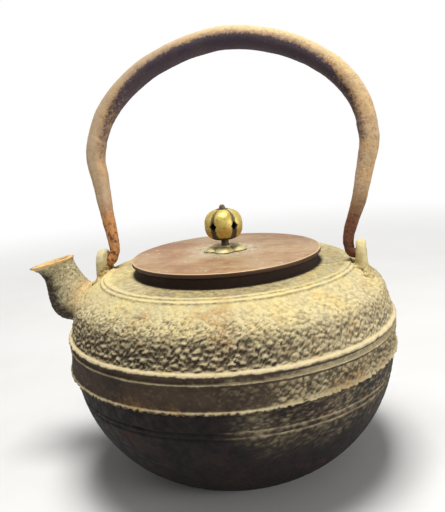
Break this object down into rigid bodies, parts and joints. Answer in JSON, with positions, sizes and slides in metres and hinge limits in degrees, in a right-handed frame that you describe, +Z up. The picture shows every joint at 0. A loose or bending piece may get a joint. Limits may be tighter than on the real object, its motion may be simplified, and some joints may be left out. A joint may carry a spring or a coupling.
{
  "type": "cast iron kettle teapot",
  "caption": "Round cast iron kettle teapot with ragged skirt, short flared spout, swinging forged bail, flat copper lift-off lid and lobed openwork brass knob.",
  "frame": {"origin": "centre of the flat base, on the surface that the kettle stands on", "axes": "+Z up through the mouth, spout along -X, bail hinged about X through both ears"},
  "size_m": [0.1852, 0.1598, 0.2125],
  "materials": {
    "rusted_iron": "pebbled cast skin under dusty khaki rust",
    "dark_iron": "smooth dark brown fired iron",
    "forged_iron": "forged iron with pinkish tan rust",
    "lid_copper": "satin copper with brown patina",
    "knob_brass": "worn brass with dark grooves"
  },
  "bodies": {
    "kettle": {"upper_body": "rusted_iron", "lower_bowl": "dark_iron", "spout": "rusted_iron", "front_ear": "rusted_iron", "rear_ear": "rusted_iron"},
    "bail": {"bail": "forged_iron"},
    "lid": {"lid_plate": "lid_copper", "lid_ring": "lid_copper", "rivet_washer": "lid_copper", "knob_seat": "knob_brass", "knob_pin": "knob_brass"},
    "knob": {"knob_stem": "knob_brass", "knob_shell": "knob_brass"}
  },
  "joints": [
    {"name": "bail_swing", "type": "hinge", "parent": "kettle", "child": "bail", "pos_m": [0, 0, 0.1012], "axis": [1, 0, 0], "range_deg": [-72, 108]},
    {"name": "lid_lift", "type": "slide", "parent": "kettle", "child": "lid", "axis": [0, 0, 1], "range_m": [0, 0.06]},
    {"name": "knob_turn", "type": "hinge", "parent": "lid", "child": "knob", "pos_m": [0, 0, 0.1], "axis": [0, 0, 1], "continuous": true}
  ]
}
